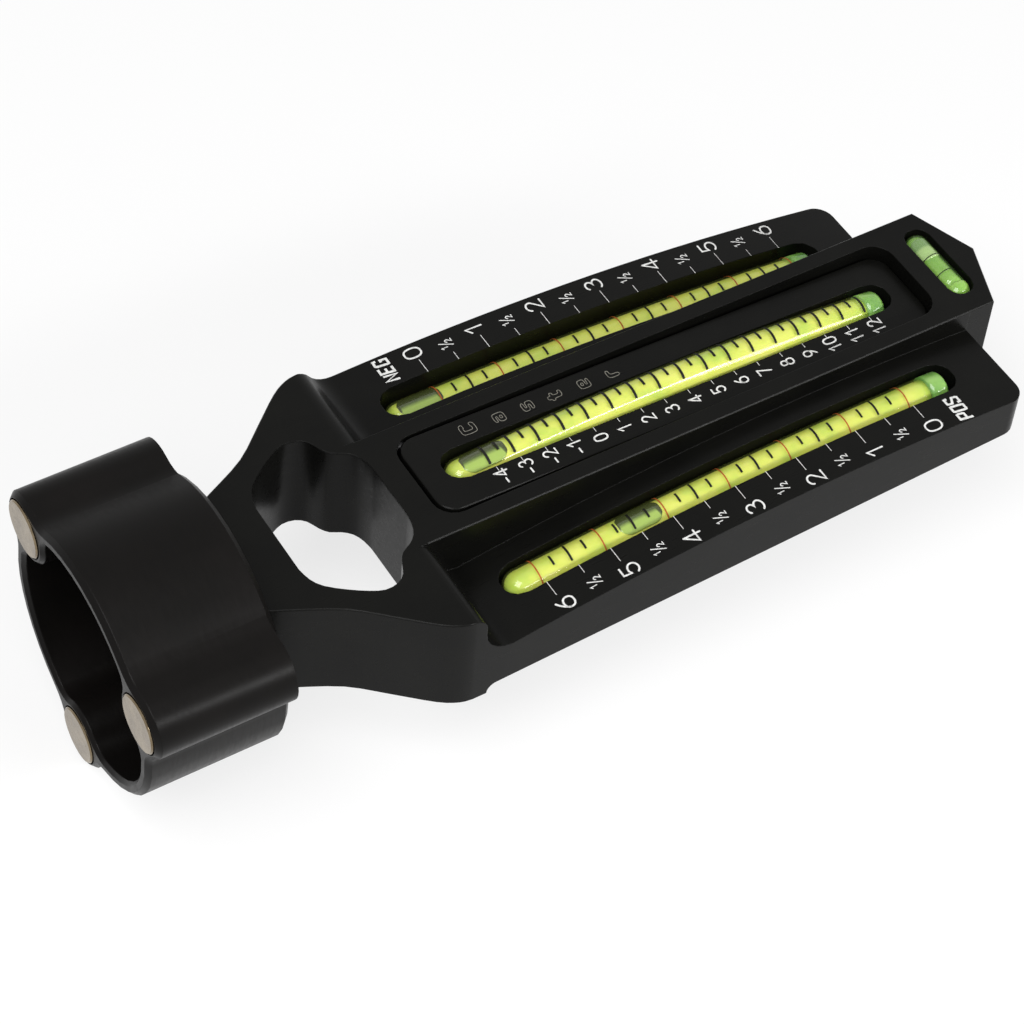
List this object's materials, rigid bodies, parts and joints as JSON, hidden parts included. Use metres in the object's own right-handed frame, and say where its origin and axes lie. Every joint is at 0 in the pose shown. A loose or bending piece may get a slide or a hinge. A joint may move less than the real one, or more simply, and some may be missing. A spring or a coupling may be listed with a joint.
{
  "type": "magnetic camber and castor gauge",
  "caption": "Magnetic wheel camber and castor gauge: lobed magnet adapter, winged aluminium body, bent spirit vials, tilting castor carrier and cross level.",
  "frame": {"origin": "point of the magnets' contact plane on the axis of the round adapter", "axes": "+X along the gauge from the magnets to the pointed tail, +Y towards the wing whose zero is next to the adapter, +Z out of the face with the vials"},
  "size_m": [0.2203, 0.0754, 0.0657],
  "materials": {
    "black_anodised": "satin black anodised",
    "black_adapter": "turned, black anodised",
    "nickel": "nickel plated",
    "steel": "plain",
    "dark_steel": "black oxide",
    "brass": "machined",
    "nylon": "matte",
    "vial_green": "clear, filled with yellow-green liquid",
    "plug_green": "clear green",
    "bubble_clear": "clear"
  },
  "bodies": {
    "adapter": {"magnet_adapter": "black_adapter", "magnet_1": "nickel", "magnet_2": "nickel", "magnet_3": "nickel"},
    "gauge": {"gauge_body": "black_anodised", "swivel_screw": "dark_steel", "swivel_washer": "nylon", "hinge_pin": "steel", "near_vial": "vial_green", "near_vial_plug": "plug_green", "far_vial": "vial_green", "far_vial_plug": "plug_green", "cross_vial": "vial_green", "cross_vial_plug": "plug_green", "carrier_spring": "steel"},
    "castor": {"castor_carrier": "black_anodised", "castor_vial": "vial_green", "castor_vial_plug": "plug_green", "lift_nut": "brass"},
    "adjuster": {"adjuster_knob": "black_anodised", "adjuster_screw": "steel"},
    "near_bubble": {"near_bubble": "bubble_clear"},
    "far_bubble": {"far_bubble": "bubble_clear"},
    "castor_bubble": {"castor_bubble": "bubble_clear"},
    "cross_bubble": {"cross_bubble": "bubble_clear"}
  },
  "joints": [
    {"name": "swivel", "type": "hinge", "parent": "adapter", "child": "gauge", "pos_m": [0, 0, 0], "axis": [1, 0, 0], "continuous": true},
    {"name": "castor_tilt", "type": "hinge", "parent": "gauge", "child": "castor", "pos_m": [0.08105, 0, 0.00965], "axis": [0, 1, 0], "range_deg": [-1.5, 1.4], "deforming": ["carrier_spring"]},
    {"name": "knob_turn", "type": "hinge", "parent": "gauge", "child": "adjuster", "pos_m": [0.192, 0.0072, 0], "axis": [0, 0, 1], "range_deg": [-2093, 1953]},
    {"name": "near_bubble_swing", "type": "hinge", "parent": "gauge", "child": "near_bubble", "pos_m": [0.18375, -0.02465, -0.87385], "axis": [0, 1, 0], "range_deg": [-1.64, 4.16]},
    {"name": "far_bubble_swing", "type": "hinge", "parent": "gauge", "child": "far_bubble", "pos_m": [0.09715, 0.02465, -0.87615], "axis": [0, 1, 0], "range_deg": [-0.06, 5.74]},
    {"name": "castor_bubble_swing", "type": "hinge", "parent": "castor", "child": "castor_bubble", "pos_m": [0.13064, 0, -0.4896], "axis": [0, 1, 0], "range_deg": [-0.19, 9.98]},
    {"name": "cross_bubble_slide", "type": "slide", "parent": "gauge", "child": "cross_bubble", "axis": [0, 1, 0], "range_m": [-0.00647, 0.00041]}
  ],
  "couplings": [
    {"joint": "knob_turn", "follows": "castor_tilt", "ratio": 1394.2}
  ]
}
